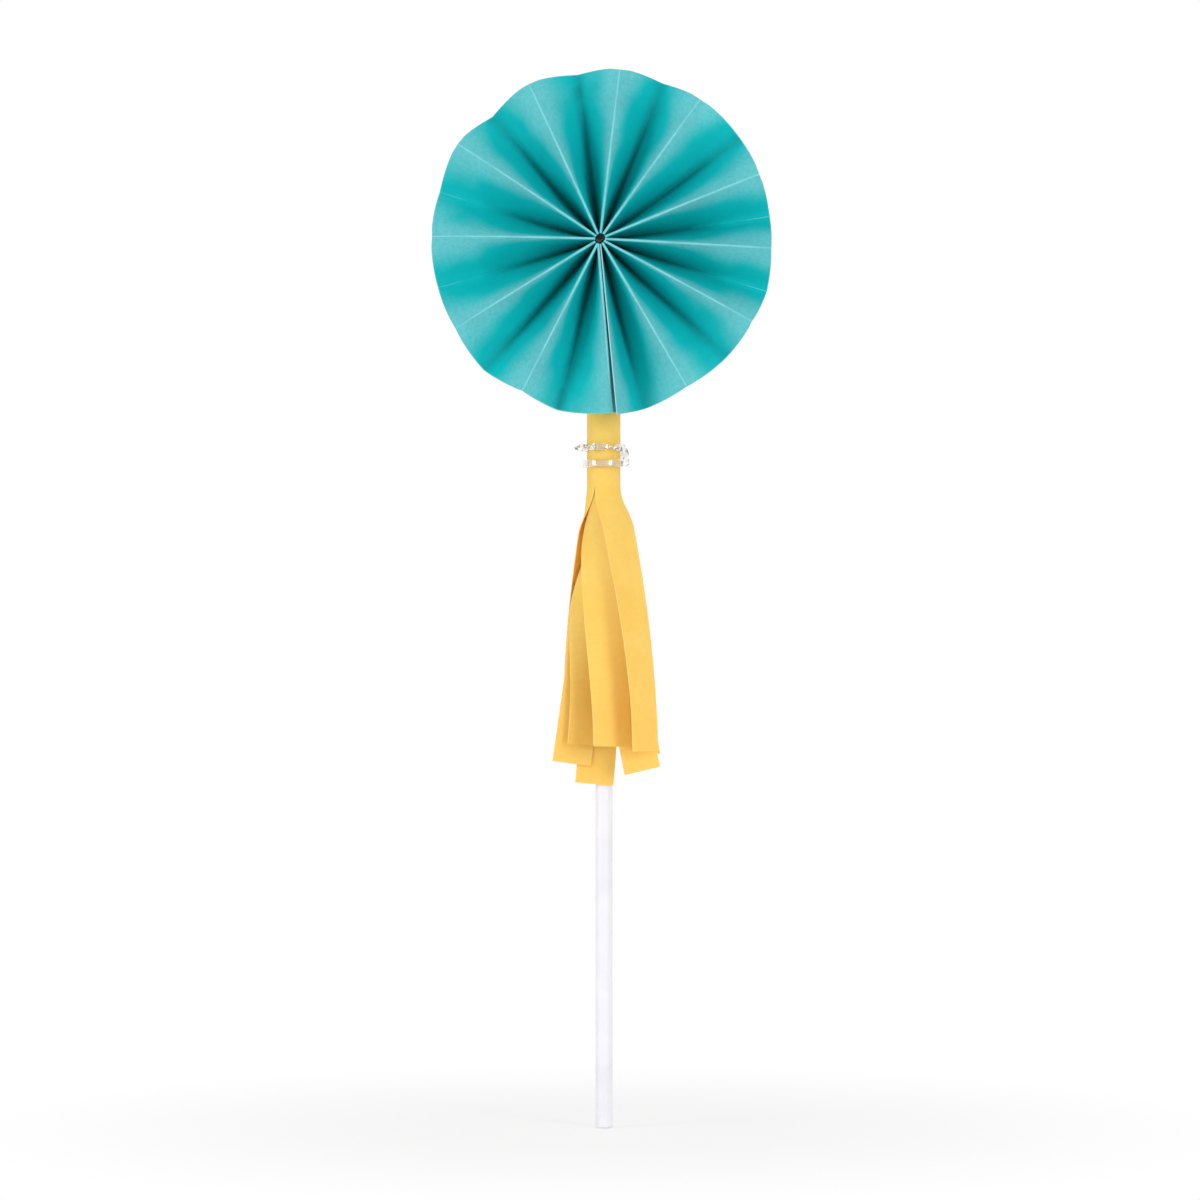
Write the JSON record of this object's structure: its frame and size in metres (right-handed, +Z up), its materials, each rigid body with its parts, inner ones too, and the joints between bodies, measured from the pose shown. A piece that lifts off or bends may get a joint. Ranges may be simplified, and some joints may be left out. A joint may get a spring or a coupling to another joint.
{
  "type": "paper fan cake topper",
  "caption": "Pleated paper fan on a hollow plastic stick, with a rolled paper tassel held under it by a clear elastic band.",
  "frame": {"origin": "centre of the stick's lower tip, the end that is pushed into the cake", "axes": "+Z up along the stick; -Y is the front, which the fan faces; +X is the viewer's right"},
  "size_m": [0.0758, 0.0283, 0.2348],
  "materials": {
    "stick_plastic": "milky, satin",
    "teal_card": "matt",
    "teal_paper": "matt, white along the folds",
    "yellow_paper": "matt",
    "hot_glue": "cloudy, smooth",
    "clear_tape": "clear",
    "clear_elastic": "clear, glossy"
  },
  "bodies": {
    "topper": {"stick": "stick_plastic", "backing_disc": "teal_card", "hub_glue": "hot_glue", "stick_glue": "hot_glue", "pleated_fan": "teal_paper", "seam_tape": "clear_tape"},
    "band": {"elastic_band": "clear_elastic"},
    "tassel": {"tassel_roll": "yellow_paper", "tassel_strip_04": "yellow_paper", "tassel_strip_05": "yellow_paper", "tassel_strip_06": "yellow_paper", "tassel_strip_07": "yellow_paper", "tassel_strip_08": "yellow_paper", "tassel_strip_09": "yellow_paper", "tassel_strip_10": "yellow_paper"},
    "left_strip": {"tassel_strip_01": "yellow_paper"},
    "right_strip": {"tassel_strip_02": "yellow_paper"},
    "back_strip": {"tassel_strip_03": "yellow_paper"}
  },
  "joints": [
    {"name": "tassel_slide", "type": "slide", "parent": "topper", "child": "band", "axis": [0, 0, 1], "range_m": [-0.07, 0]},
    {"name": "tassel_turn", "type": "hinge", "parent": "band", "child": "tassel", "pos_m": [0, 0, 0.15], "axis": [0, 0, 1], "continuous": true},
    {"name": "left_strip_lift", "type": "hinge", "parent": "tassel", "child": "left_strip", "pos_m": [-0.00354, -0.00111, 0.1427], "axis": [-0.2986, 0.9544, 0], "range_deg": [0, 60]},
    {"name": "right_strip_lift", "type": "hinge", "parent": "tassel", "child": "right_strip", "pos_m": [0.00207, -0.00295, 0.1427], "axis": [-0.8181, -0.575, 0], "range_deg": [0, 60]},
    {"name": "back_strip_lift", "type": "hinge", "parent": "tassel", "child": "back_strip", "pos_m": [0.00033, 0.00345, 0.1427], "axis": [0.9955, -0.0948, 0], "range_deg": [0, 60]}
  ]
}
